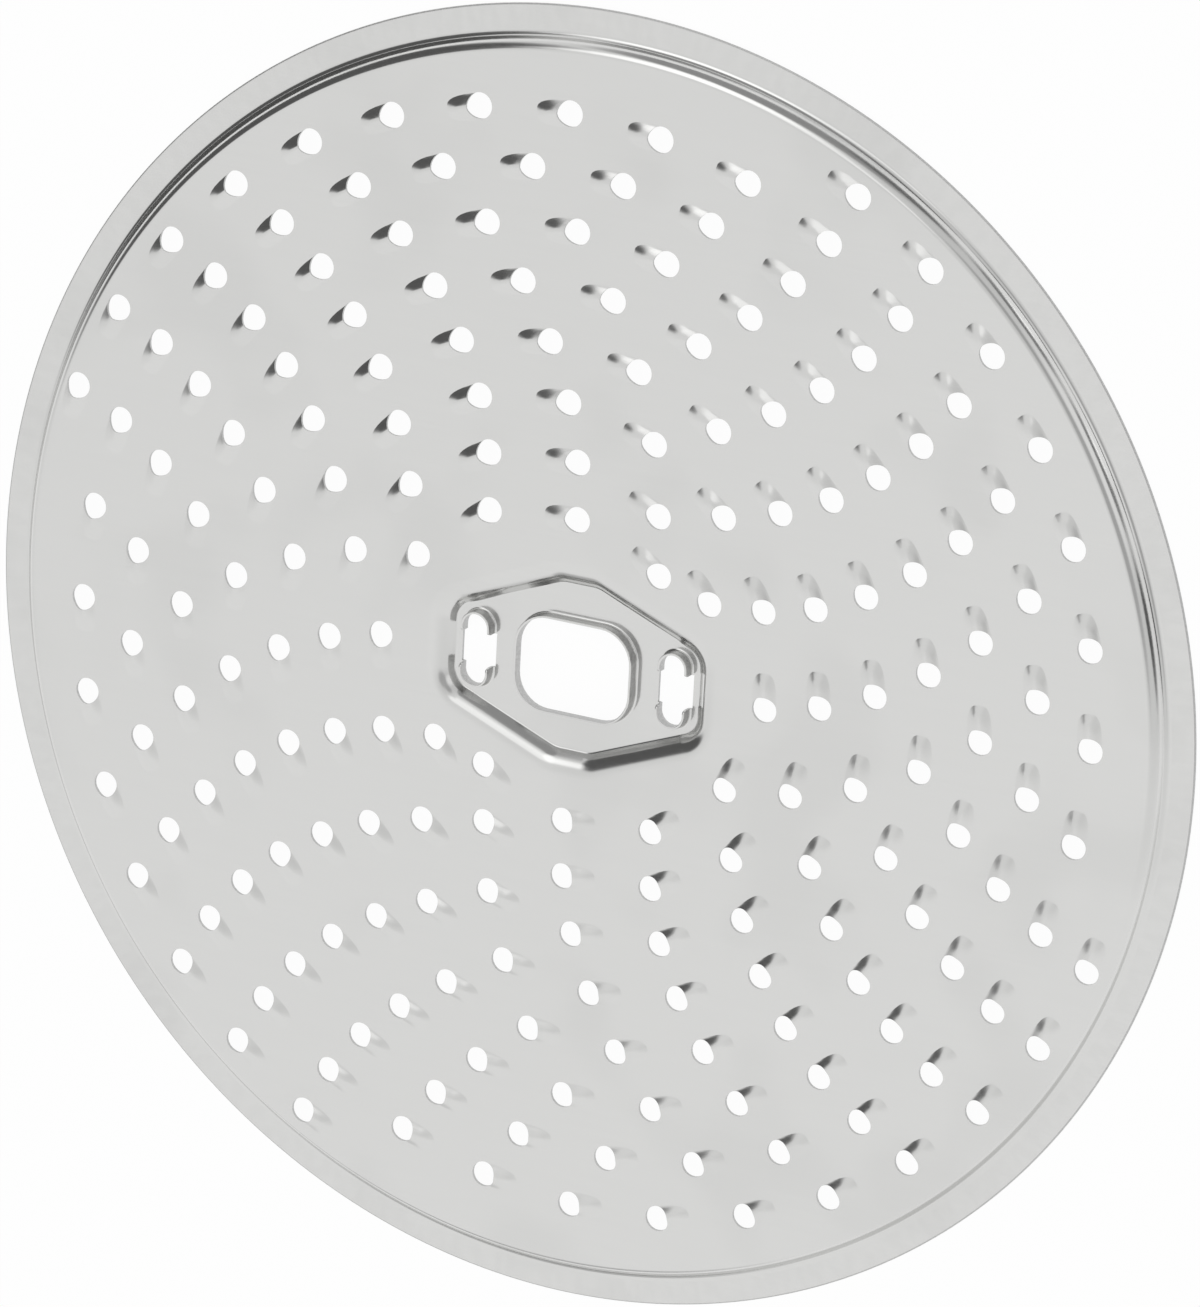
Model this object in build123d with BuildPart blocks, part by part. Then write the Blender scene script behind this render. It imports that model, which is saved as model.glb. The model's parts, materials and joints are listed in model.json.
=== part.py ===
"""Grating disc of a food processor, stamped from one stainless steel sheet.

A flat flange runs round the rim, a pressed step lifts the round plate above it, and a long pocket
in the middle brings the sheet back down to the level of the flange. The pocket's floor holds the
drive opening and two slots with turned-up collars. Four spiral rows of punched teeth cover the plate.

The Z axis is the axis of rotation, the teeth point up and the underside of the flange lies on Z = 0.
The two slots lie on the X axis. Lengths are in millimetres and angles in degrees.
"""

import os
from math import asinh, atan2, cos, degrees, pi, radians, sin, sqrt, tan

from build123d import *

os.makedirs("parts", exist_ok=True)

# Sheet and rim
sheet = 0.4
disc_diameter = 160.0
flange_width = 3.8
plate_rise = 1.8
step_slope = 78.0
step_bend = 0.3

# Pocket in the middle, measured where its walls meet its floor
pocket_length = 32.9
pocket_width = 20.7
pocket_end_width = 9.5
pocket_side_flat = 4.7
pocket_corner = 2.6
pocket_slope = 52.0
pocket_brow = 2.6
pocket_foot = 0.4
brow_facets = 2

# Drive opening and slots, measured inside their collars
drive_length = 15.2
drive_width = 11.6
drive_corner = 4.0
slot_spacing = 26.5
slot_length = 8.9
slot_width = 3.3
collar_wall = 0.3
collar_bend = 0.3
collar_height = 1.5
notch_length = 4.2
notch_relief = 0.05

# Teeth and the spiral rows that they stand on
row_count = 4
row_gap = 6.933
tooth_pitch = 12.0
row_start_radius = 18.8
hub_ring_radius = 17.8
hub_gap = 0.5
rim_gap = 0.45
bare_ends = (0, 1)
hole_radius = 1.6
hole_facets = 6
mouth_half_angle = 50.0
tooth_length = 4.5
tooth_height = 0.56

# Levels that follow from the sizes above
floor_top = sheet
plate_bottom = plate_rise
plate_top = plate_rise + sheet
collar_top = floor_top + collar_height


def pressed_step(brow, foot, slope, facets):
    """Upper and lower line of a pressed step, as (run, height) from the edge of the plate.

    The bend at the plate has the radius of the brow and the bend at the floor that of the foot. The
    outside of a bend goes through points of an arc one sheet larger, and its inside along tangents
    of the bend itself, so that a bend with one facet is sharp on its inside. The brow has the given
    number of facets and the foot has one. The two walls lie one sheet apart.
    """
    turn, floor_bottom = radians(slope), -plate_rise - sheet
    outer = brow + sheet
    turns = [turn * i / facets for i in range(facets + 1)]
    outside = [(outer * sin(angle), outer * cos(angle) - outer) for angle in turns]
    foot_run = outside[-1][0] + (plate_rise + outside[-1][1]) / tan(turn)
    upper = [*outside, (foot_run, -plate_rise)]

    half = turn / facets / 2
    corner = brow / cos(half)
    inside = [(corner * sin(angle - half), corner * cos(angle - half) - outer) for angle in turns[:0:-1]]
    span, outer = foot_run + foot * tan(turn / 2), foot + sheet
    lower = [(span, floor_bottom), (span - outer * sin(turn), floor_bottom + outer - outer * cos(turn)), *inside]
    return upper, lower


rim_upper, rim_lower = pressed_step(step_bend, step_bend, step_slope, 1)
hub_upper, hub_lower = pressed_step(pocket_brow, pocket_foot, pocket_slope, brow_facets)
plate_radius = disc_diameter / 2 - flange_width - rim_lower[0][0]
pocket_run = hub_upper[-1][0]
pocket_slant = atan2(pocket_width - pocket_end_width, pocket_length - pocket_side_flat)
row_rate = row_gap * row_count / (2 * pi)


def arc_length(turn):
    """Length of the spiral radius = row_rate * turn, from its centre to that turn in radians."""
    return row_rate / 2 * (turn * sqrt(1 + turn**2) + asinh(turn))


def turn_at(length):
    """Turn in radians at a length along the spiral, by Newton's method."""
    turn = sqrt(2 * length / row_rate)
    for _ in range(8):
        turn -= (arc_length(turn) - length) / (row_rate * sqrt(1 + turn**2))
    return turn


def gap_to_pocket(x, y):
    """Distance from a point to the outline of the pocket's floor, by its flat, slanted and end sides."""
    slanted = (abs(x) - pocket_side_flat / 2) * sin(pocket_slant)
    slanted += (abs(y) - pocket_width / 2) * cos(pocket_slant)
    return max(abs(x) - pocket_length / 2, abs(y) - pocket_width / 2, slanted)


def row_places(row):
    """Places of one row's teeth from the rim inwards, to the last one that clears the pocket."""
    start_turn = row_start_radius / row_rate
    start = arc_length(start_turn)
    end = arc_length((plate_radius - hole_radius - rim_gap) / row_rate)
    last = int((end - start) / tooth_pitch) - bare_ends[row % len(bare_ends)]
    first = -int(start / tooth_pitch)
    places = []
    for step in range(last, first - 1, -1):
        turn = turn_at(start + step * tooth_pitch)
        radius = max(row_rate * turn, hub_ring_radius)
        angle = turn - start_turn + 2 * pi * row / row_count
        x, y = radius * cos(angle), radius * sin(angle)
        if gap_to_pocket(x, y) < pocket_run + hole_radius + hub_gap:
            break
        places.append(Location((x, y, plate_top), (0, 0, degrees(angle) + 90)))
    return places


def pocket_outline(margin):
    """Two flat and four slanted sides and two short ends with round corners, grown by a margin."""
    end = (pocket_length / 2 + margin, pocket_end_width / 2 + margin * tan((pi / 2 - pocket_slant) / 2))
    side = (pocket_side_flat / 2 + margin * tan(pocket_slant / 2), pocket_width / 2 + margin)
    upper = [end, side, (-side[0], side[1]), (-end[0], end[1])]
    with BuildSketch() as outline:
        Polygon(*upper, *[(-x, -y) for x, y in upper], align=None)
        columns = outline.vertices().group_by(Axis.X)
        fillet(columns[0] + columns[-1], pocket_corner + margin)
    return outline.sketch


def drive_outline(margin):
    """Rounded rectangle of the drive opening, grown by a margin."""
    with BuildSketch() as outline:
        RectangleRounded(drive_length + 2 * margin, drive_width + 2 * margin, drive_corner + margin)
    return outline.sketch


def slot_outline(margin):
    """Two round-ended slots that lie across the X axis, grown by a margin."""
    with BuildSketch() as outline:
        with GridLocations(slot_spacing, 0, 2, 1):
            SlotOverall(slot_length + 2 * margin, slot_width + 2 * margin, rotation=90)
    return outline.sketch


def banded(outline, levels, mode):
    """Straight-sided bands through an outline's (margin, height) levels, for each of its faces."""
    sections = [outline(margin).moved(Location((0, 0, height))).faces() for margin, height in levels]
    for faces in zip(*sections):
        loft(faces, ruled=True, mode=mode)


# Rim: the step and the flange outside it
with BuildPart() as rim:
    with BuildSketch(Plane.XZ):
        with BuildLine():
            Polyline(
                *[(plate_radius + run, plate_top + height) for run, height in rim_upper],
                (disc_diameter / 2, sheet),
                (disc_diameter / 2, 0),
                *[(plate_radius + run, plate_top + height) for run, height in rim_lower],
                (plate_radius, plate_bottom),
                close=True,
            )
        make_face()
    revolve(axis=Axis.Z)

# Hub: the pocket, with collars turned up out of its floor round the drive opening and the slots
pocket_under = [(pocket_run - run, plate_top + height) for run, height in hub_lower]
pocket_inside = [(pocket_run - run, plate_top + height) for run, height in reversed(hub_upper)]
collar_foot = collar_wall + collar_bend
collar_outside = [(collar_wall, floor_top), (collar_wall, collar_top)]
collar_inside = [(collar_foot, 0), (0, floor_top + collar_bend), (0, collar_top)]

with BuildPart() as hub:
    banded(pocket_outline, pocket_under, Mode.ADD)
    banded(pocket_outline, [(pocket_run, plate_bottom), (pocket_run, plate_top)], Mode.ADD)
    banded(pocket_outline, pocket_inside, Mode.SUBTRACT)
    for opening in (drive_outline, slot_outline):
        banded(opening, collar_outside, Mode.ADD)
        banded(opening, collar_inside, Mode.SUBTRACT)
    with BuildSketch():
        with GridLocations(slot_spacing, 0, 2, 1):
            Rectangle(slot_width + 2 * (collar_foot + notch_relief), notch_length)
    extrude(amount=collar_top, mode=Mode.SUBTRACT)

# Tooth: the sheet beside a hole, pushed up to a ridge that ends in the cutting lip
mouth = radians(mouth_half_angle)
hole_angles = [mouth + 2 * (pi - mouth) * i / hole_facets for i in range(hole_facets + 1)]
hole_points = [(hole_radius * cos(angle), hole_radius * sin(angle), 0) for angle in hole_angles]
tooth_tip = (tooth_length, 0, 0)
tooth_lip = (hole_radius, 0, tooth_height)

with BuildPart() as tooth:
    with BuildLine() as flank:
        Polyline(tooth_tip, hole_points[0], tooth_lip, close=True)
    extrude(Face(flank.wire()), amount=sheet, dir=(0, 0, -1))
    mirror(about=Plane.XZ)

# Plate: the flat sheet between rim and hub, with a window for every hole and its tooth
places = [place for row in range(row_count) for place in row_places(row)]
window = Wire.make_polygon([*hole_points, tooth_tip], close=True)
hub_edge = Location((0, 0, plate_top)) * pocket_outline(pocket_run).wire()
rim_edge = Wire.make_circle(plate_radius, Plane.XY.offset(plate_top))

with BuildPart() as plate:
    extrude(Face(rim_edge, [hub_edge, *[place * window for place in places]]), amount=-sheet)

# The four forms meet along whole faces, and a glued union makes one sheet of them
with BuildPart() as grating_disc:
    add(plate.part.fuse(rim.part, hub.part, *[place * tooth.part for place in places], glue=True).clean())

grating_disc.part.label = "grating_disc"
export_step(grating_disc.part, "parts/grating_disc.step")
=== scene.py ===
"""Looks of a stamped steel grating disc: its sheet with true bends and teeth, its finish and a studio.

The disc is one sheet of stainless steel. Its flange lies on Z = 0 and the teeth point up, as in the
frame. Flat stretches are triangulated between their outlines, and everything bent is a profile carried
along an outline or a grid over two parameters. Lengths are in metres and angles in radians.
"""

import json
from math import cos, pi, radians, sin, tan

import bmesh
import bpy
import numpy as np
from bpy.props import FloatProperty, FloatVectorProperty, IntProperty, PointerProperty
from mathutils import Euler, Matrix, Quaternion, Vector
from mathutils.geometry import delaunay_2d_cdt


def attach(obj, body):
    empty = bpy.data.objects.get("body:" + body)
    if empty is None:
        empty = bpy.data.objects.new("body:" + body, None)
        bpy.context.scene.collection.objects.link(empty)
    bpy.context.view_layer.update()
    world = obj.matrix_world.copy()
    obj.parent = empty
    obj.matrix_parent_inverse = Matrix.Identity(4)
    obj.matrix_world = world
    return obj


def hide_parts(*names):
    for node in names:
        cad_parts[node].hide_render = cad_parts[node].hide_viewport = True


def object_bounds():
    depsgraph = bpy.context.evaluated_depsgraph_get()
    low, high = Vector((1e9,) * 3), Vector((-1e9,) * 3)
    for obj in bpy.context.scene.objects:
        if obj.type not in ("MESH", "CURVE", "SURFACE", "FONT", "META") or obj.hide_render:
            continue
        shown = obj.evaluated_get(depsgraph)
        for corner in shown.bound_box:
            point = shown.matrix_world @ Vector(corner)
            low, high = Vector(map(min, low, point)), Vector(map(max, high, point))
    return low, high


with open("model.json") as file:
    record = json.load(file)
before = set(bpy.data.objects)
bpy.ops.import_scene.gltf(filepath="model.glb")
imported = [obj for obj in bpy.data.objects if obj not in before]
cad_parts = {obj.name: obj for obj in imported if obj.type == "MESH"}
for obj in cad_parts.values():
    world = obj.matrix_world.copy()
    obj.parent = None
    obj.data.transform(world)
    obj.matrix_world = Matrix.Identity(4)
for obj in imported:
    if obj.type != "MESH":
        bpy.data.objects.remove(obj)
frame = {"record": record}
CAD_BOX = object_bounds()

bl_info = {
    "name": "Grating disc",
    "version": (1, 0, 0),
    "blender": (4, 5, 0),
    "location": "View3D > Sidebar > Grating disc",
    "description": "Builds a stamped steel grating disc with spiral rows of teeth, and its studio",
    "category": "Object",
}

MM = 0.001
NODE = "grating_disc"
BODY = "root"
SLOT = "steel_sheet"
DISC_DIAMETER = 2 * min(*-CAD_BOX[0].xy, *CAD_BOX[1].xy)
STEEL_COLOUR = next(m["base_color"] for m in frame["record"]["materials"] if m["slot"] == SLOT)

# Steps of the grids, and rows of a hood as shares of the way from its lip to its foot
BEND_STEPS = 9
EDGE_STEPS = 2
RIM_STEPS = 360
CORNER_STEPS = 10
SLOT_STEPS = 18
SLOT_END_STEPS = 4
HOLE_STEPS = 12
HOOD_COLUMNS = 14
HOOD_ROWS = np.array([0.0, 0.15, 0.4, 0.7, 1.0])
HOOD_UNDER_ROWS = np.array([0.0, 1.0])
FLOOR_STEPS = 64
NEWTON_STEPS = 8

# Flat strip that parts a bend from a flat stretch, and what the mesh is welded, creased and sorted by
FLAT_STRIP = 0.12 * MM
WELD = 0.001 * MM
SHARP_ANGLE = radians(35)
TRIANGLE_CORNERS = 3
UPRIGHT = 0.15

# Ranges of the noise that the finish makes use of, and spreads about the values of the sheared edge
GRAIN_RANGE = (0.3, 0.7)
MARK_RANGE = (0.5, 0.68)
STREAK_RANGE = (0.35, 0.65)
EDGE_TONES = (0.85, 1.15)
EDGE_SPREAD = (0.8, 1.2)

# Soft cards on the dome: azimuth, elevation, inner and outer angle in degrees, brightness
STUDIO_CARDS = (
    (60, 20, 45, 90, 0.72),
    (142, 23, 42, 67, 0.88),
    (15, 56, 9, 22, 0.48),
    (53, 53, 4, 13, 0.45),
    (94, 13, 19, 27, 0.34),
    (245, 0, 1, 22, 0.48),
    (156, 22, 23, 33, 0.11),
    (115, 47, 8, 19, 1.50),
    (102, 64, 5, 11, 1.20),
    (28, 28, 8, 20, 0.95),
    (3, 9, 7, 11, 0.08),
    (26, 9, 7, 11, 0.22),
    (49, 9, 7, 11, 0.22),
    (72, 9, 7, 11, 0.16),
    (28, 0, 3, 6, 1.50),
    (48, 0, 3, 6, 1.50),
)


def length(name, description, millimetres):
    """Length property with its default given in millimetres."""
    return FloatProperty(
        name=name, description=description, default=millimetres * MM, precision=5, unit="LENGTH"
    )


def angle(name, description, degrees_):
    """Angle property with its default given in degrees."""
    return FloatProperty(name=name, description=description, default=radians(degrees_), subtype="ANGLE")


def factor(name, description, value):
    """Plain number from 0 up."""
    return FloatProperty(name=name, description=description, default=value, min=0.0, subtype="FACTOR")


def colour(name, description, value):
    """Linear colour."""
    return FloatVectorProperty(
        name=name, description=description, default=value, subtype="COLOR", min=0, max=1
    )


class RimSizes(bpy.types.PropertyGroup):
    """Sheet, flange and the pressed step between flange and plate."""

    disc_diameter: length("Disc diameter", "Across the flange", DISC_DIAMETER / MM)
    sheet: length("Sheet", "Thickness of the sheet", 0.4)
    flange_width: length("Flange width", "Flat ring outside the step", 3.03)
    plate_rise: length("Plate rise", "Height of the plate above the flange", 1.8)
    step_slope: angle("Step slope", "Slope of the pressed step", 62)
    step_brow: length("Step brow", "Inside radius where the bend leaves the plate", 0.02)
    step_shoulder: length("Step shoulder", "Inside radius where that bend reaches the wall", 2.51)
    step_foot: length("Step foot", "Inside radius of the bend at the flange", 0.9)
    edge_round: length("Edge round", "Radius of the worn outer edge", 0.18)


class HubSizes(bpy.types.PropertyGroup):
    """Pocket in the middle, its drive opening and its two slots."""

    pocket_length: length("Pocket length", "Along X, where the walls meet the floor", 32.9)
    pocket_width: length("Pocket width", "Along Y, where the walls meet the floor", 20.7)
    pocket_end_width: length("Pocket end width", "Width of the short ends", 9.5)
    pocket_side_flat: length("Pocket side flat", "Length of the flat sides", 4.7)
    pocket_corner: length("Pocket corner", "Radius of the corners at the short ends", 2.6)
    pocket_side_corner: length("Pocket side corner", "Radius of the corners beside the flat sides", 3.5)
    pocket_slope: angle("Pocket slope", "Slope of the pocket's walls", 52)
    pocket_brow: length("Pocket brow", "Inside radius of the bend at the pocket's upper edge", 2.6)
    pocket_foot: length("Pocket foot", "Inside radius of the bend at the pocket's floor", 0.4)
    drive_length: length("Drive length", "Clear length of the drive opening", 15.2)
    drive_width: length("Drive width", "Clear width of the drive opening", 11.6)
    drive_corner: length("Drive corner", "Corner radius of the drive opening", 4.0)
    slot_spacing: length("Slot spacing", "Between the slots' middles", 26.5)
    slot_length: length("Slot length", "Clear length of a slot", 8.9)
    slot_width: length("Slot width", "Clear width of a slot", 3.3)
    collar_wall: length("Collar wall", "Thickness of a turned-up collar", 0.3)
    collar_bend: length("Collar bend", "Radius at the foot of a collar", 0.3)
    collar_height: length("Collar height", "Height of a collar above the floor", 1.5)
    collar_round: length("Collar round", "Radius along the top of a collar", 0.1)
    collar_end_round: length("Collar end round", "Radius at the ends of a parted collar", 0.45)
    notch_length: length("Notch length", "Gap between the collars of a slot", 4.2)
    notch_relief: length("Notch relief", "Gap from the foot of a collar to the notch", 0.05)


class ToothSizes(bpy.types.PropertyGroup):
    """Punched teeth and the spiral rows that they stand on."""

    row_count: IntProperty(name="Rows", description="Number of spiral rows", default=4, min=1)
    row_gap: length("Row gap", "Between neighbouring rows, outwards", 6.933)
    tooth_pitch: length("Tooth pitch", "Between teeth along a row", 12.0)
    row_start_radius: length("Row start radius", "Radius where a row crosses its axis", 18.8)
    hub_ring_radius: length("Hub ring radius", "Least radius of a tooth", 17.8)
    reach: length("Reach", "Room that a tooth needs from the pocket and the rim", 1.65)
    hub_gap: length("Hub gap", "Flat sheet between a tooth and the pocket", 0.5)
    rim_gap: length("Rim gap", "Flat sheet between a tooth and the rim", 0.1)
    hole_radius: length("Hole radius", "Radius of a tooth's hole and half the width of its hood", 1.6)
    tooth_length: length("Tooth length", "From the hole's centre to the end of the hood", 4.45)
    tooth_height: length("Tooth height", "Height of the ridge above the plate", 0.55)
    tooth_turn: angle("Tooth turn", "Turn of a tooth towards the hub", 2.8)
    peak_place: length("Peak place", "From the hole's centre to the top of the ridge", 1.83)
    lip_fall: factor("Lip fall", "Fall of the ridge towards the lip, as a share of its other fall", 0.22)
    outline_power: factor("Outline power", "Outline of the hood, 1 for a diamond and 2 for an oval", 1.53)
    fall_power: factor("Fall power", "Fall of the hood from its top, 1 for a cone and 2 for a dome", 1.38)
    ridge_power: factor("Ridge power", "Bow of the ridge from peak to end, 1 for a straight ridge", 1.9)
    foot_blend: factor("Foot blend", "Softness of the hood's foot", 0.15)
    skirt_power: factor("Skirt power", "Fullness of the flat outline round the hood's foot", 3.3)
    lip_thickness: length("Lip thickness", "Sheet left at the lip", 0.25)


class FinishSettings(bpy.types.PropertyGroup):
    """Satin steel and its sheared edges."""

    steel: colour("Steel", "Colour of the clean sheet", STEEL_COLOUR)
    roughness: factor("Roughness", "Roughness of the clean sheet", 0.14)
    grain: factor("Grain", "How much the rolled grain changes tone and roughness", 0.014)
    grain_length: length("Grain length", "Length of a line of the rolled grain", 14)
    grain_width: length("Grain width", "Width of a line of the rolled grain", 0.25)
    marks: factor("Marks", "How much handling marks dull the sheet", 0.035)
    mark_size: length("Mark size", "Size of a handling mark", 22)
    streaks: factor("Streaks", "How much radial streaks change the tone of the flange", 0.02)
    streak_width: length("Streak width", "Width of a radial streak", 1.6)
    ripple: length("Ripple", "Height of the slight waves that pressing leaves", 0.012)
    ripple_size: length("Ripple size", "Length of such a wave", 5)
    # This duller colour also covers the disc's outer round, where it partly paints in a dark reflection
    # line along the rim
    edge: colour("Sheared edge", "Colour of sheared and drawn upright faces", (0.52, 0.52, 0.515))
    edge_roughness: factor("Edge roughness", "Roughness of sheared and drawn upright faces", 0.42)
    edge_grain_width: length("Edge grain width", "Width of the marks that the punch leaves", 0.15)


class StageSettings(bpy.types.PropertyGroup):
    """Camera, floor and studio light."""

    lens: FloatProperty(name="Lens", description="Focal length in millimetres", default=205.7)
    shift_x: FloatProperty(name="Shift X", description="Sideways shift of the lens", default=-0.05203)
    shift_y: FloatProperty(name="Shift Y", description="Upward shift of the lens", default=0.08225)
    camera_distance: length("Camera distance", "From the aim point", 884.09)
    camera_azimuth: angle("Camera azimuth", "From +X towards +Y", 37.594)
    camera_elevation: angle("Camera elevation", "Above the plate", 58.107)
    camera_roll: angle("Camera roll", "About the line of sight", -119.959)
    aim_x: length("Aim X", "Where the line of sight meets the plate", 13.61)
    aim_y: length("Aim Y", "Where the line of sight meets the plate", -8.488)
    floor_radius: length("Floor radius", "Round pale floor", 12000)
    floor_drop: length("Floor drop", "Depth of the floor below the disc's underside", 0.02)
    floor_colour: colour("Floor", "Colour of the floor and backdrop", (1.0, 1.0, 1.0))
    floor_glow: factor("Floor glow", "Share of the floor that shows as an even white ground", 0.95)
    dome: factor("Dome", "Brightness of the white dome", 0.955)


def arc(centre, radius, start, end, steps):
    """Arc of (across, height) points: centre plus radius times (cos, sin) of an even run of angles."""
    turn = np.linspace(start, end, steps + 1)
    return np.asarray(centre) + radius * np.stack([np.cos(turn), np.sin(turn)], axis=1)


def pressed_step(rise, brow, shoulder, foot, slope, sheet):
    """Upper and lower line of a pressed step, as (run, height) from the edge of the plate's top.

    The middle line turns down to the slope on a bend whose radius grows evenly with its tilt, from
    brow + sheet / 2 to shoulder + sheet / 2. With radius = a + b * tilt its run is radius * sin(tilt)
    - b * (1 - cos(tilt)) and its drop a - radius * cos(tilt) + b * sin(tilt). Then it runs straight
    and turns back on an arc of radius foot + sheet / 2. Each line lies half a sheet from it along its
    normal. The third value is the run of the whole step.
    """
    tilt = np.linspace(0, slope, BEND_STEPS + 1)
    growth = (shoulder - brow) / slope
    radius = brow + sheet / 2 + growth * tilt
    bend_run = radius * np.sin(tilt) - growth * (1 - np.cos(tilt))
    bend_drop = radius[0] - radius * np.cos(tilt) + growth * np.sin(tilt)
    foot_run = (foot + sheet / 2) * np.sin(tilt)
    foot_drop = (foot + sheet / 2) * (1 - np.cos(tilt))
    straight = (rise - bend_drop[-1] - foot_drop[-1]) / tan(slope)
    span = bend_run[-1] + straight + foot_run[-1]
    run = np.concatenate([bend_run, span - foot_run[::-1]])
    drop = np.concatenate([bend_drop, rise - foot_drop[::-1]])
    tilts = np.concatenate([tilt, tilt[::-1]])
    middle = np.stack([run, -drop - sheet / 2], axis=1)
    normal = np.stack([np.sin(tilts), np.cos(tilts)], axis=1)
    return middle + normal * sheet / 2, middle - normal * sheet / 2, span


def rounded_outline(corners, radii):
    """Closed outline with round corners, as points and outward normals.

    Each corner is an arc about a centre that lies radius / cos(half the turn) inside it, with normals
    that turn evenly from one side's normal to the next. Straight sides join the arcs.
    """
    corners, radii = np.asarray(corners, float), np.asarray(radii, float)
    sides = np.roll(corners, -1, axis=0) - corners
    facing = np.arctan2(-sides[:, 0], sides[:, 1])
    before = np.roll(facing, 1)
    turn = (facing - before) % (2 * pi)
    middle = before + turn / 2
    inwards = (radii / np.cos(turn / 2))[:, None] * np.stack([np.cos(middle), np.sin(middle)], axis=1)
    angles = before[:, None] + turn[:, None] * np.linspace(0, 1, CORNER_STEPS + 1)
    normals = np.stack([np.cos(angles), np.sin(angles)], axis=2)
    points = (corners - inwards)[:, None] + radii[:, None, None] * normals
    return points.reshape(-1, 2), normals.reshape(-1, 2)


def carried(path, profile):
    """Profile of (margin, height) points carried along a path of points and outward normals.

    A surface point is path + margin * normal at that height. The grid is profile by path.
    """
    points, normals = path
    plan = points[None] + profile[:, None, :1] * normals[None]
    height = np.broadcast_to(profile[:, None, 1:], plan.shape[:2] + (1,))
    return np.concatenate([plan, height], axis=2)


def grid_faces(rows, columns, closed):
    """Four-sided faces of a grid, over its last column to its first where it is closed."""
    row = np.arange(rows - 1)[:, None] * columns
    column = np.arange(columns if closed else columns - 1)[None]
    after = (column + 1) % columns
    corners = [row + column, row + columns + column, row + columns + after, row + after]
    return np.stack(corners, axis=2).reshape(-1, 4)


def band(path, profile, closed=True):
    """Surface of a carried profile, as points and faces."""
    grid = carried(path, profile)
    return grid.reshape(-1, 3), grid_faces(grid.shape[0], grid.shape[1], closed)


def flat_region(loops, height, up):
    """Flat sheet between an outer loop and the loops of its openings, triangulated at one height."""
    plan = np.concatenate(loops)
    starts = np.cumsum([0] + [len(loop) for loop in loops[:-1]])
    outlines = [(start + np.arange(len(loop))).tolist() for start, loop in zip(starts, loops)]
    only_inside = 1
    flat, _, triangles, sources, _, owners = delaunay_2d_cdt(
        [Vector(point) for point in plan / MM], [], outlines, only_inside, WELD
    )
    if len(flat) != len(plan):
        raise RuntimeError("outlines of a flat stretch cross or touch")
    source = np.array([indices[0] for indices in sources])
    sheet = [owner == [0] for owner in owners]
    faces = source[np.array(triangles)[sheet]]
    points = np.column_stack([plan, np.full(len(plan), height)])
    return points, faces if up else faces[:, ::-1]


class Levels:
    """Heights and radii that follow from the rim's sizes."""

    def __init__(self, rim):
        self.upper, self.lower, span = pressed_step(
            rim.plate_rise, rim.step_brow, rim.step_shoulder, rim.step_foot, rim.step_slope, rim.sheet
        )
        self.floor_top = rim.sheet
        self.plate_bottom = rim.plate_rise
        self.plate_top = rim.plate_rise + rim.sheet
        self.plate_radius = rim.disc_diameter / 2 - rim.flange_width - span


def circle(steps):
    """Round path about the origin: points at the middle, with normals all round."""
    turn = np.linspace(0, 2 * pi, steps, endpoint=False)
    normals = np.stack([np.cos(turn), np.sin(turn)], axis=1)
    return np.zeros_like(normals), normals


def rim_band(rim, levels):
    """Step and flange: their section, from the plate's top over the outer edge to its underside."""
    place = np.array([levels.plate_radius, levels.plate_top])
    inner, edge, round_ = levels.plate_radius - FLAT_STRIP, rim.disc_diameter / 2, rim.edge_round
    foot, brink = edge - rim.flange_width + FLAT_STRIP, edge - round_ - FLAT_STRIP
    profile = np.concatenate([
        [(inner, levels.plate_top)],
        levels.upper + place,
        [(foot, rim.sheet), (brink, rim.sheet)],
        arc((edge - round_, rim.sheet - round_), round_, pi / 2, 0, EDGE_STEPS),
        arc((edge - round_, round_), round_, 0, -pi / 2, EDGE_STEPS),
        [(brink, 0), (foot, 0)],
        (levels.lower + place)[::-1],
        [(inner, levels.plate_bottom)],
    ])
    return band(circle(RIM_STEPS), profile)


def pocket_path(hub):
    """Outline of the pocket's floor: two flat and four slanted sides and two short ends."""
    end = (hub.pocket_length / 2, hub.pocket_end_width / 2)
    side = (hub.pocket_side_flat / 2, hub.pocket_width / 2)
    upper = [end, side, (-side[0], side[1]), (-end[0], end[1])]
    corners = upper + [(-x, -y) for x, y in upper]
    radii = [hub.pocket_corner, hub.pocket_side_corner, hub.pocket_side_corner, hub.pocket_corner] * 2
    return rounded_outline(corners, radii)


def pocket_step(hub, rim):
    """Pressed step of the pocket's walls."""
    brow, foot = hub.pocket_brow, hub.pocket_foot
    return pressed_step(rim.plate_rise, brow, brow, foot, hub.pocket_slope, rim.sheet)


def pocket_run(hub, rim):
    """Run of the pocket's walls, from where they meet the floor to the edge of the plate."""
    return pocket_step(hub, rim)[2] - hub.pocket_foot * tan(hub.pocket_slope / 2)


def drive_path(hub):
    """Rounded rectangle of the drive opening."""
    x, y = hub.drive_length / 2, hub.drive_width / 2
    return rounded_outline([(x, -y), (x, y), (-x, y), (-x, -y)], [hub.drive_corner] * 4)


def slot_end_path(hub):
    """Path of one slot collar: up a straight side from the notch, round the end and down to the notch.

    It lies about the slot's middle, at the end that faces +Y. The stations near the notch are spaced
    as the round of the collar's end needs them.
    """
    radius = hub.slot_width / 2
    centre = hub.slot_length / 2 - radius
    climb = hub.collar_end_round * (1 - np.cos(np.linspace(0, pi / 2, SLOT_END_STEPS + 1)))
    straight = hub.notch_length / 2 + climb
    turn = np.linspace(0, pi, SLOT_STEPS + 1)
    angles = np.concatenate([np.zeros(len(climb)), turn, np.full(len(climb), pi)])
    rises = np.concatenate([straight, np.full(len(turn), centre), straight[::-1]])
    normals = np.stack([np.cos(angles), np.sin(angles)], axis=1)
    points = radius * normals + np.stack([np.zeros_like(rises), rises], axis=1)
    return points, normals


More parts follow.
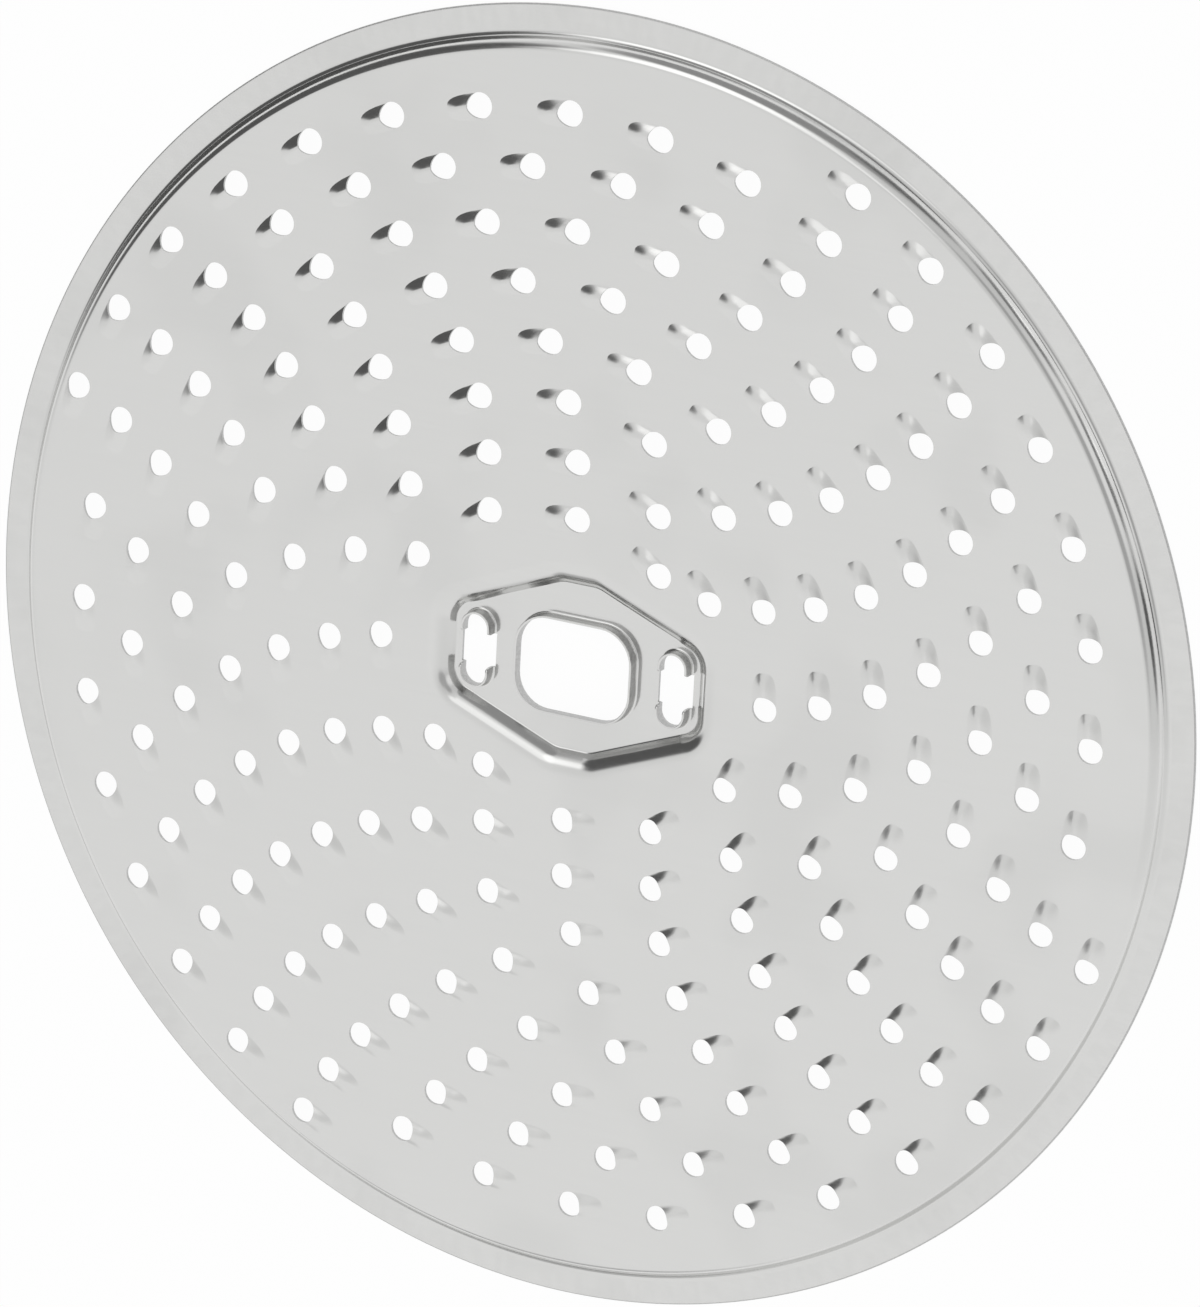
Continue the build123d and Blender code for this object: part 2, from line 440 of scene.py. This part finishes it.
def collar_profile(hub, levels):
    """Section of a collar, from the underside of the floor up its inside and down its outside."""
    foot = hub.collar_wall + hub.collar_bend
    edge = foot + hub.notch_relief
    top = levels.floor_top + hub.collar_height
    round_ = hub.collar_round
    outside = arc((foot, levels.floor_top + hub.collar_bend), hub.collar_bend, pi, 1.5 * pi, BEND_STEPS)
    return np.concatenate([
        [(edge, 0)],
        arc((foot, foot), foot, 1.5 * pi, pi, BEND_STEPS),
        arc((round_, top - round_), round_, pi, pi / 2, EDGE_STEPS),
        arc((hub.collar_wall - round_, top - round_), round_, pi / 2, 0, EDGE_STEPS),
        outside,
        [(edge, levels.floor_top)],
    ])


def slot_collar(hub, levels):
    """One slot collar with its two ends closed, about the slot's middle.

    Near the notch its height falls off on a quarter circle. An end is closed by faces between
    matching points of the section's inside and outside.
    """
    path, profile = slot_end_path(hub), collar_profile(hub, levels)
    grid = carried(path, profile)
    ahead = np.minimum(np.abs(path[0][:, 1]) - hub.notch_length / 2, hub.collar_end_round)
    back = hub.collar_end_round - ahead
    drop = hub.collar_end_round - np.sqrt(hub.collar_end_round**2 - back**2)
    above = np.maximum(grid[:, :, 2] - levels.floor_top, 0)
    grid[:, :, 2] -= above * drop[None] / hub.collar_height
    rows, columns = grid.shape[:2]
    half = np.arange(rows // 2 - 1)
    first = np.stack([half, rows - 1 - half, rows - 2 - half, half + 1], axis=1) * columns
    faces = [grid_faces(rows, columns, False), first, first[:, ::-1] + columns - 1]
    return grid.reshape(-1, 3), np.concatenate(faces)


def half_turned(surface):
    """Surface turned half round about Z."""
    points, faces = surface
    return points * (-1, -1, 1), faces


def moved(surface, x):
    """Surface moved along X."""
    points, faces = surface
    return points + (x, 0, 0), faces


def hub_surfaces(hub, rim, levels):
    """Pocket walls and floor, drive collar and slot collars, and the plate's loop round the pocket."""
    upper, lower, span = pocket_step(hub, rim)
    run = pocket_run(hub, rim)
    path = pocket_path(hub)
    above = np.stack([run - upper[:, 0], levels.plate_top + upper[:, 1]], axis=1)
    below = np.stack([run - lower[:, 0], levels.plate_top + lower[:, 1]], axis=1)
    outer, inner = run + FLAT_STRIP, run - span - FLAT_STRIP
    top = np.concatenate([[(inner, levels.floor_top)], above[::-1], [(outer, levels.plate_top)]])
    bottom = np.concatenate([[(outer, levels.plate_bottom)], below, [(inner, 0)]])
    surfaces = [band(path, top), band(path, bottom)]

    collar = collar_profile(hub, levels)
    surfaces.append(band(drive_path(hub), collar))
    loops = [carried(path, top[:1])[0, :, :2], carried(drive_path(hub), collar[:1])[0, :, :2]]

    end_path = slot_end_path(hub)
    end_loop = carried(end_path, collar[:1])[0, :, :2]
    slot_loop = np.concatenate([end_loop, -end_loop])
    notch_wall = np.array([
        (*end_loop[-1], 0), (*end_loop[-1], levels.floor_top),
        (*-end_loop[0], levels.floor_top), (*-end_loop[0], 0),
    ])
    notch = (notch_wall, np.array([[0, 1, 2, 3]]))
    for side in (-1, 1):
        x = side * hub.slot_spacing / 2
        for surface in (slot_collar(hub, levels), notch):
            surfaces.append(moved(surface, x))
            surfaces.append(moved(half_turned(surface), x))
        loops.append(slot_loop + (x, 0))
    surfaces.append(flat_region(loops, levels.floor_top, up=True))
    surfaces.append(flat_region(loops, 0, up=False))
    return surfaces, carried(path, top[-1:])[0, :, :2]


def spiral_places(teeth, hub, rim, levels):
    """Centre and heading of every tooth, as arrays.

    A row follows radius = rate * turn, with its teeth at even steps of the spiral's length
    rate / 2 * (turn * sqrt(1 + turn^2) + asinh(turn)), which Newton's method turns round. It crosses
    its own axis at the row start radius, and runs from the rim to the last tooth that clears the pocket.
    """
    rate = teeth.row_gap * teeth.row_count / (2 * pi)

    def spiral_length(turn):
        return rate / 2 * (turn * np.sqrt(1 + turn**2) + np.arcsinh(turn))

    start_turn = teeth.row_start_radius / rate
    start = spiral_length(start_turn)
    end = spiral_length((levels.plate_radius - teeth.reach - teeth.rim_gap) / rate)
    steps = np.arange(-int(start / teeth.tooth_pitch), int((end - start) / teeth.tooth_pitch) + 1)
    lengths = start + steps * teeth.tooth_pitch
    turn = np.sqrt(2 * lengths / rate)
    for _ in range(NEWTON_STEPS):
        turn -= (spiral_length(turn) - lengths) / (rate * np.sqrt(1 + turn**2))
    radius = np.maximum(rate * turn, teeth.hub_ring_radius)

    row = np.arange(teeth.row_count)[:, None]
    heading = turn[None] - start_turn + 2 * pi * row / teeth.row_count
    x, y = radius * np.cos(heading), radius * np.sin(heading)
    narrowing = hub.pocket_width - hub.pocket_end_width
    slant = np.arctan2(narrowing, hub.pocket_length - hub.pocket_side_flat)
    past_end = np.abs(x) - hub.pocket_length / 2
    past_side = np.abs(y) - hub.pocket_width / 2
    past_slant = (np.abs(x) - hub.pocket_side_flat / 2) * sin(slant) + past_side * cos(slant)
    gap = np.maximum(np.maximum(past_end, past_side), past_slant)
    fouled = gap < pocket_run(hub, rim) + teeth.reach + teeth.hub_gap
    clear_outwards = np.logical_and.accumulate(~fouled[:, ::-1], axis=1)[:, ::-1]
    bare_rim_tooth = (row % 2 == 1) & (steps[None] == steps[-1])
    kept = clear_outwards & ~bare_rim_tooth
    return np.stack([x[kept], y[kept], heading[kept] + pi / 2], axis=1)


def hood_height(teeth, x, y):
    """Height of a tooth's hood above the plate, in the tooth's own axes.

    With u the distance from the peak along X over the hood's length, raised to the ridge power, and v
    that across over its half width, w = 1 - (u^outline + v^outline)^(fall / outline). The height goes
    with w^2 / (w + blend), so the hood is a rounded pyramid with a bowed ridge and a soft foot. Between
    peak and lip the distance counts only by the lip fall.
    """
    ahead = (x - teeth.peak_place) / (teeth.tooth_length - teeth.peak_place)
    u = np.where(ahead < 0, -teeth.lip_fall * ahead, ahead) ** teeth.ridge_power
    v = np.abs(y) / teeth.hole_radius
    spread = u**teeth.outline_power + v**teeth.outline_power
    w = np.maximum(1 - spread ** (teeth.fall_power / teeth.outline_power), 0)
    return teeth.tooth_height * (1 + teeth.foot_blend) * w**2 / (w + teeth.foot_blend)


def tooth_surfaces(teeth, rim, levels, places):
    """Hood, underside and hole wall of every tooth, and the loops of their windows in the plate.

    In a tooth's own axes the hole's centre is the origin and the hood runs along +X. The grid runs from
    the lip, which is half of the hole's circle, to a skirt that lies flat on the plate: x = length *
    cos^(2 / power) and y = radius * sin^(2 / power) of the same angles.
    """
    turn = np.linspace(-pi / 2, pi / 2, HOOD_COLUMNS + 1)
    facing = np.stack([np.maximum(np.cos(turn), 0), np.sin(turn)], axis=1)
    facing[[0, -1], 0] = 0
    lip = teeth.hole_radius * facing
    fullness = np.sign(facing) * np.abs(facing) ** (2 / teeth.skirt_power)
    skirt = fullness * (teeth.tooth_length, teeth.hole_radius)
    back = np.linspace(pi / 2, 1.5 * pi, HOLE_STEPS + 1)[1:-1]
    back_edge = teeth.hole_radius * np.stack([np.cos(back), np.sin(back)], axis=1)

    def hood(shares):
        plan = lip[None] + shares[:, None, None] * (skirt - lip)[None]
        rise = hood_height(teeth, plan[:, :, 0], plan[:, :, 1])
        rise[:, [0, -1]] = 0
        rise[shares == 1] = 0
        return plan, rise

    thinning = (rim.sheet - teeth.lip_thickness) / teeth.tooth_height
    plan, rise = hood(HOOD_ROWS)
    top = np.dstack([plan, levels.plate_top + rise])
    plan, rise = hood(HOOD_UNDER_ROWS[::-1])
    under = np.dstack([plan, levels.plate_bottom + rise * (1 + thinning)])
    back_top = np.column_stack([back_edge, np.full(len(back), levels.plate_top)])
    back_under = np.column_stack([back_edge, np.full(len(back), levels.plate_bottom)])
    wall = np.stack([np.concatenate([under[-1], back_under]), np.concatenate([top[0], back_top])])
    window = np.concatenate([skirt, back_edge])

    def at_places(local):
        turn = places[:, 2, None] + teeth.tooth_turn
        x, y = local[None, :, 0], local[None, :, 1]
        east = places[:, 0, None] + x * np.cos(turn) - y * np.sin(turn)
        north = places[:, 1, None] + x * np.sin(turn) + y * np.cos(turn)
        return np.stack([east, north], axis=2)

    surfaces = []
    for grid, closed in ((top, False), (under, False), (wall, True)):
        rows, columns = grid.shape[:2]
        local = grid.reshape(-1, 3)
        height = np.broadcast_to(local[None, :, 2:], (len(places), len(local), 1))
        points = np.concatenate([at_places(local), height], axis=2)
        offsets = np.arange(len(places))[:, None, None] * len(local)
        faces = grid_faces(rows, columns, closed)[None] + offsets
        surfaces.append((points.reshape(-1, 3), faces.reshape(-1, 4)))
    return surfaces, list(at_places(window))


def welded_mesh(name, surfaces):
    """One mesh of several surfaces, joined where their edges meet.

    It is smooth except at its cut edges, and on its triangles, which are the flat stretches.
    """
    points = np.concatenate([points for points, _ in surfaces])
    starts = np.cumsum([0] + [len(points) for points, _ in surfaces[:-1]])
    faces = [face for start, (_, part) in zip(starts, surfaces) for face in (part + start).tolist()]
    mesh = bpy.data.meshes.new(name)
    mesh.from_pydata(points.tolist(), [], faces)
    welded = bmesh.new()
    welded.from_mesh(mesh)
    bmesh.ops.remove_doubles(welded, verts=welded.verts, dist=WELD)
    welded.to_mesh(mesh)
    welded.free()
    if mesh.validate():
        raise RuntimeError("the sheet's mesh has faults")
    mesh.shade_smooth()
    mesh.set_sharp_from_angle(angle=SHARP_ANGLE)
    corners = np.empty(len(mesh.polygons), np.int32)
    mesh.polygons.foreach_get("loop_total", corners)
    mesh.polygons.foreach_set("use_smooth", corners > TRIANGLE_CORNERS)
    return mesh


def add_node(tree, kind, place, **inputs):
    """Node at a place in the tree, with input values by socket name."""
    node = tree.nodes.new(kind)
    node.location = place
    for name, value in inputs.items():
        node.inputs[name.replace("_", " ")].default_value = value
    return node


def grain_group():
    """Node group of drawn-out grain: noise on a place divided by a line's length, width and depth."""
    group = bpy.data.node_groups.new("Drawn grain", "ShaderNodeTree")
    group.interface.new_socket("Place", in_out="INPUT", socket_type="NodeSocketVector")
    group.interface.new_socket("Line", in_out="INPUT", socket_type="NodeSocketVector")
    group.interface.new_socket("Tone", in_out="OUTPUT", socket_type="NodeSocketFloat")
    given = add_node(group, "NodeGroupInput", (-600, 0))
    result = add_node(group, "NodeGroupOutput", (400, 0))
    share = add_node(group, "ShaderNodeVectorMath", (-300, 0))
    share.operation = "DIVIDE"
    noise = add_node(group, "ShaderNodeTexNoise", (0, 0), Scale=1.0, Detail=2.0)
    group.links.new(given.outputs["Place"], share.inputs[0])
    group.links.new(given.outputs["Line"], share.inputs[1])
    group.links.new(share.outputs["Vector"], noise.inputs["Vector"])
    group.links.new(noise.outputs[0], result.inputs["Tone"])
    return group


def drawn_grain(tree, group, place, line, corner):
    """Tone of the drawn grain at a place, for lines of a length, width and depth."""
    grain = add_node(tree, "ShaderNodeGroup", corner)
    grain.node_tree = group
    grain.inputs["Line"].default_value = line
    tree.links.new(place, grain.inputs["Place"])
    return grain.outputs["Tone"]


def remapped(tree, value, source, target, corner):
    """Value mapped smoothly from one range to another and kept within it."""
    ramp = add_node(tree, "ShaderNodeMapRange", corner)
    ramp.interpolation_type = "SMOOTHSTEP"
    for name, number in zip(("From Min", "From Max", "To Min", "To Max"), (*source, *target)):
        ramp.inputs[name].default_value = number
    tree.links.new(value, ramp.inputs["Value"])
    return ramp.outputs["Result"]


def combined(tree, operation, first, second, corner):
    """Two values, or a value and a number, put together by a math node."""
    node = add_node(tree, "ShaderNodeMath", corner)
    node.operation = operation
    tree.links.new(first, node.inputs[0])
    if isinstance(second, float):
        node.inputs[1].default_value = second
    else:
        tree.links.new(second, node.inputs[1])
    return node.outputs[0]


def toned(tree, base, tone, corner):
    """Colour scaled by a tone."""
    scale = add_node(tree, "ShaderNodeVectorMath", corner)
    scale.operation = "SCALE"
    scale.inputs[0].default_value = base
    tree.links.new(tone, scale.inputs["Scale"])
    return scale.outputs["Vector"]


def metal(name):
    """New metallic material: its tree, its shader and the place on the piece."""
    material = bpy.data.materials.new(name)
    material.use_nodes = True
    tree = material.node_tree
    shader = tree.nodes["Principled BSDF"]
    shader.inputs["Metallic"].default_value = 1.0
    place = add_node(tree, "ShaderNodeTexCoord", (-1700, 0)).outputs["Object"]
    return material, tree, shader, place


def flange_streaks(tree, finish, rim, grain, place):
    """Radial streaks on the flange: grain along the radius and over the arc, faded out inside the step."""
    split = add_node(tree, "ShaderNodeSeparateXYZ", (-1500, -500))
    tree.links.new(place, split.inputs[0])
    turn = combined(tree, "ARCTAN2", split.outputs["Y"], split.outputs["X"], (-1300, -500))
    arc_place = combined(tree, "MULTIPLY", turn, rim.disc_diameter / 2, (-1100, -500))
    distance = add_node(tree, "ShaderNodeVectorMath", (-1300, -700))
    distance.operation = "LENGTH"
    tree.links.new(place, distance.inputs[0])
    radius = distance.outputs["Value"]
    polar = add_node(tree, "ShaderNodeCombineXYZ", (-900, -600))
    tree.links.new(radius, polar.inputs["X"])
    tree.links.new(arc_place, polar.inputs["Y"])
    line = (rim.flange_width, finish.streak_width, rim.flange_width)
    streak = drawn_grain(tree, grain, polar.outputs[0], line, (-700, -600))
    outside = rim.disc_diameter / 2 - rim.flange_width
    on_flange = remapped(tree, radius, (outside, outside + FLAT_STRIP), (0.0, 1.0), (-700, -800))
    dulling = remapped(tree, streak, STREAK_RANGE, (0.0, finish.streaks), (-500, -600))
    return combined(tree, "MULTIPLY", dulling, on_flange, (-300, -700))


def steel_material(finish, rim, grain):
    """Satin stainless sheet: rolled grain, handling marks, flange streaks and the ripple of the press."""
    material, tree, shader, place = metal("Satin steel")
    line = (finish.grain_length, finish.grain_width, finish.grain_width)
    rolled = drawn_grain(tree, grain, place, line, (-1300, 300))
    dimple = drawn_grain(tree, grain, place, (finish.mark_size,) * 3, (-1300, 0))
    mark = remapped(tree, dimple, MARK_RANGE, (0.0, finish.marks), (-1000, 0))

    dulling = combined(tree, "ADD", mark, flange_streaks(tree, finish, rim, grain, place), (-100, -200))
    tones = (1 - finish.grain / 2, 1 + finish.grain / 2)
    shade = remapped(tree, rolled, GRAIN_RANGE, tones, (-1000, 300))
    tone = combined(tree, "SUBTRACT", shade, dulling, (100, 100))
    tree.links.new(toned(tree, finish.steel, tone, (300, 100)), shader.inputs["Base Color"])

    clean = (finish.roughness - finish.grain, finish.roughness + finish.grain)
    satin = remapped(tree, rolled, GRAIN_RANGE, clean, (-1000, 600))
    tree.links.new(combined(tree, "ADD", satin, dulling, (300, -200)), shader.inputs["Roughness"])

    wave = drawn_grain(tree, grain, place, (finish.ripple_size,) * 3, (-1300, -300))
    ripple = add_node(tree, "ShaderNodeBump", (300, -400), Strength=1.0, Distance=finish.ripple)
    tree.links.new(wave, ripple.inputs["Height"])
    tree.links.new(ripple.outputs["Normal"], shader.inputs["Normal"])
    return material


def edge_material(finish, rim, grain):
    """Sheared or drawn upright face: duller steel with the upright marks of the punch. On the disc's outer
    round the same duller colour is partly a painted dark reflection line.
    """
    material, tree, shader, place = metal("Sheared edge")
    line = (finish.edge_grain_width, finish.edge_grain_width, rim.sheet)
    marks = drawn_grain(tree, grain, place, line, (-1300, 0))
    tone = remapped(tree, marks, GRAIN_RANGE, EDGE_TONES, (-1000, 100))
    tree.links.new(toned(tree, finish.edge, tone, (-700, 100)), shader.inputs["Base Color"])
    spread = [finish.edge_roughness * share for share in EDGE_SPREAD]
    rough = remapped(tree, marks, GRAIN_RANGE, spread, (-1000, -200))
    tree.links.new(rough, shader.inputs["Roughness"])
    return material


def finish_edges(mesh, brink):
    """Second material on upright faces, such as hole walls, lips and collars, and past the brink. On the
    outer round past the brink its duller colour is partly worn sheared edge and partly a painted dark
    reflection line.
    """
    normals = np.empty(3 * len(mesh.polygons))
    centres = np.empty(3 * len(mesh.polygons))
    mesh.polygons.foreach_get("normal", normals)
    mesh.polygons.foreach_get("center", centres)
    upright = np.abs(normals[2::3]) < UPRIGHT
    # Past the brink the outer round takes the duller colour: partly a worn sheared edge, partly a painted
    # dark reflection line
    outermost = np.hypot(centres[0::3], centres[1::3]) > brink
    mesh.polygons.foreach_set("material_index", (upright | outermost).astype(np.int32))


class GratingSheet(bpy.types.Operator):
    """Build the stamped sheet with its rim, hub and teeth"""

    bl_idname = "object.grating_sheet"
    bl_label = "Grating sheet"

    def execute(self, context):
        settings = context.scene.grating
        rim, hub, teeth = settings.rim, settings.hub, settings.teeth
        levels = Levels(rim)
        hub_parts, hub_loop = hub_surfaces(hub, rim, levels)
        places = spiral_places(teeth, hub, rim, levels)
        tooth_parts, windows = tooth_surfaces(teeth, rim, levels, places)
        rim_loop = (levels.plate_radius - FLAT_STRIP) * circle(RIM_STEPS)[1]
        plate_loops = [rim_loop, hub_loop, *windows]
        plates = [
            flat_region(plate_loops, levels.plate_top, up=True),
            flat_region(plate_loops, levels.plate_bottom, up=False),
        ]
        mesh = welded_mesh("grating_sheet", [rim_band(rim, levels), *hub_parts, *tooth_parts, *plates])
        grain = grain_group()
        mesh.materials.append(steel_material(settings.finish, rim, grain))
        mesh.materials.append(edge_material(settings.finish, rim, grain))
        finish_edges(mesh, rim.disc_diameter / 2 - rim.edge_round)
        sheet = bpy.data.objects.new("grating_sheet", mesh)
        context.scene.collection.objects.link(sheet)
        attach(sheet, BODY)
        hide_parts(NODE)
        return {"FINISHED"}


def direction(azimuth, elevation):
    """Unit vector at an azimuth from +X and an elevation, in degrees."""
    a, e = radians(azimuth), radians(elevation)
    return Vector((cos(e) * cos(a), cos(e) * sin(a), sin(e)))


def shown_directly(tree):
    """Value that is 1 for what the camera, gloss and glass see, and 0 for light that falls on things."""
    path = add_node(tree, "ShaderNodeLightPath", (-600, 200)).outputs
    seen = combined(tree, "MAXIMUM", path["Is Camera Ray"], path["Is Glossy Ray"], (-400, 200))
    return combined(tree, "MAXIMUM", seen, path["Is Transmission Ray"], (-200, 200))


def floor_material(stage):
    """Pale floor: an even white ground where it is seen, with the shadow of the disc mixed in."""
    material = bpy.data.materials.new("Pale floor")
    material.use_nodes = True
    tree = material.node_tree
    tree.nodes.clear()
    pale = (*stage.floor_colour, 1)
    matt = add_node(tree, "ShaderNodeBsdfDiffuse", (0, 0), Color=pale)
    glow = add_node(tree, "ShaderNodeEmission", (0, -200), Color=pale, Strength=1.0)
    share = combined(tree, "MULTIPLY", shown_directly(tree), stage.floor_glow, (0, 200))
    mix = add_node(tree, "ShaderNodeMixShader", (300, 0))
    output = add_node(tree, "ShaderNodeOutputMaterial", (500, 0))
    tree.links.new(share, mix.inputs[0])
    tree.links.new(matt.outputs[0], mix.inputs[1])
    tree.links.new(glow.outputs[0], mix.inputs[2])
    tree.links.new(mix.outputs[0], output.inputs[0])
    return material


def card_group():
    """Node group of a soft round card: 1 within the inner angle of its centre and 0 past the outer."""
    group = bpy.data.node_groups.new("Soft card", "ShaderNodeTree")
    for name in ("Ray", "Centre"):
        group.interface.new_socket(name, in_out="INPUT", socket_type="NodeSocketVector")
    for name in ("Inner", "Outer"):
        group.interface.new_socket(name, in_out="INPUT", socket_type="NodeSocketFloat")
    group.interface.new_socket("Mask", in_out="OUTPUT", socket_type="NodeSocketFloat")
    given = add_node(group, "NodeGroupInput", (-600, 0))
    result = add_node(group, "NodeGroupOutput", (400, 0))
    dot = add_node(group, "ShaderNodeVectorMath", (-300, 100))
    dot.operation = "DOT_PRODUCT"
    ramp = add_node(group, "ShaderNodeMapRange", (100, 0))
    ramp.interpolation_type = "SMOOTHSTEP"
    group.links.new(given.outputs["Ray"], dot.inputs[0])
    group.links.new(given.outputs["Centre"], dot.inputs[1])
    group.links.new(dot.outputs["Value"], ramp.inputs["Value"])
    group.links.new(given.outputs["Outer"], ramp.inputs["From Min"])
    group.links.new(given.outputs["Inner"], ramp.inputs["From Max"])
    group.links.new(ramp.outputs["Result"], result.inputs["Mask"])
    return group


def studio_world(stage):
    """White dome with soft cards that mix their own brightness into it."""
    world = bpy.data.worlds.new("Studio")
    world.use_nodes = True
    tree = world.node_tree
    background = tree.nodes["Background"]
    ray = add_node(tree, "ShaderNodeTexCoord", (-2000, 0)).outputs["Generated"]
    level = add_node(tree, "ShaderNodeValue", (-1600, 200)).outputs[0]
    level.default_value = stage.dome

    card = card_group()
    for number, (azimuth, elevation, inner, outer, brightness) in enumerate(STUDIO_CARDS):
        across = 300 * number - 1300
        mask = add_node(tree, "ShaderNodeGroup", (across, -200))
        mask.node_tree = card
        mask.inputs["Centre"].default_value = direction(azimuth, elevation)
        mask.inputs["Inner"].default_value = cos(radians(inner))
        mask.inputs["Outer"].default_value = cos(radians(outer))
        mixed = add_node(tree, "ShaderNodeMix", (across, 200), B=brightness)
        tree.links.new(ray, mask.inputs["Ray"])
        tree.links.new(mask.outputs["Mask"], mixed.inputs["Factor"])
        tree.links.new(level, mixed.inputs["A"])
        level = mixed.outputs["Result"]

    path = add_node(tree, "ShaderNodeLightPath", (600, 400))
    seen = add_node(tree, "ShaderNodeMix", (800, 200), B=1.0)
    tree.links.new(path.outputs["Is Camera Ray"], seen.inputs["Factor"])
    tree.links.new(level, seen.inputs["A"])
    tree.links.new(seen.outputs["Result"], background.inputs["Strength"])
    background.inputs["Color"].default_value = (1, 1, 1, 1)
    return world


class GratingStage(bpy.types.Operator):
    """Set the floor, the studio light and the camera"""

    bl_idname = "scene.grating_stage"
    bl_label = "Studio"

    def execute(self, context):
        scene = context.scene
        stage = scene.grating.stage
        rim = scene.grating.rim
        ring = stage.floor_radius * circle(FLOOR_STEPS)[1]
        mesh = bpy.data.meshes.new("floor")
        drop = np.full((FLOOR_STEPS, 1), -stage.floor_drop)
        mesh.from_pydata(np.hstack([ring, drop]).tolist(), [], [list(range(FLOOR_STEPS))])
        mesh.materials.append(floor_material(stage))
        floor = bpy.data.objects.new("floor", mesh)
        scene.collection.objects.link(floor)

        scene.world = studio_world(stage)
        scene.view_settings.view_transform = "Standard"

        lens = bpy.data.cameras.new("camera")
        lens.lens = stage.lens
        lens.shift_x, lens.shift_y = stage.shift_x, stage.shift_y
        camera = bpy.data.objects.new("camera", lens)
        tilt, turn = pi / 2 - stage.camera_elevation, stage.camera_azimuth + pi / 2
        back = Euler((tilt, 0, turn)).to_quaternion()
        camera.rotation_mode = "QUATERNION"
        camera.rotation_quaternion = back @ Quaternion((0, 0, 1), stage.camera_roll)
        aim = Vector((stage.aim_x, stage.aim_y, rim.plate_rise + rim.sheet))
        camera.location = aim + back @ Vector((0, 0, stage.camera_distance))
        scene.collection.objects.link(camera)
        scene.camera = camera
        return {"FINISHED"}


class GratingSettings(bpy.types.PropertyGroup):
    """All settings of the disc and its studio."""

    rim: PointerProperty(type=RimSizes, name="Rim", description="Sheet, flange and step")
    hub: PointerProperty(type=HubSizes, name="Hub", description="Pocket and its openings")
    teeth: PointerProperty(type=ToothSizes, name="Teeth", description="Teeth and their rows")
    finish: PointerProperty(type=FinishSettings, name="Finish", description="Satin steel")
    stage: PointerProperty(type=StageSettings, name="Stage", description="Camera, floor and light")


class GratingPanel(bpy.types.Panel):
    """Settings and operators of the grating disc"""

    bl_idname = "VIEW3D_PT_grating"
    bl_label = "Grating disc"
    bl_space_type = "VIEW_3D"
    bl_region_type = "UI"
    bl_category = "Grating disc"

    def draw(self, context):
        settings = context.scene.grating
        for group, operator in (
            ("rim", GratingSheet), ("hub", GratingSheet), ("teeth", GratingSheet),
            ("finish", GratingSheet), ("stage", GratingStage),
        ):
            box = self.layout.box()
            box.label(text=group.capitalize())
            values = getattr(settings, group)
            for name in values.__annotations__:
                box.prop(values, name)
            box.operator(operator.bl_idname)


CLASSES = (
    RimSizes, HubSizes, ToothSizes, FinishSettings, StageSettings, GratingSettings,
    GratingSheet, GratingStage, GratingPanel,
)


def register():
    for each in CLASSES:
        bpy.utils.register_class(each)
    bpy.types.Scene.grating = PointerProperty(type=GratingSettings)


def unregister():
    del bpy.types.Scene.grating
    for each in reversed(CLASSES):
        bpy.utils.unregister_class(each)


def main():
    register()
    bpy.ops.object.grating_sheet()
    bpy.ops.scene.grating_stage()


if __name__ == "__main__":
    main()
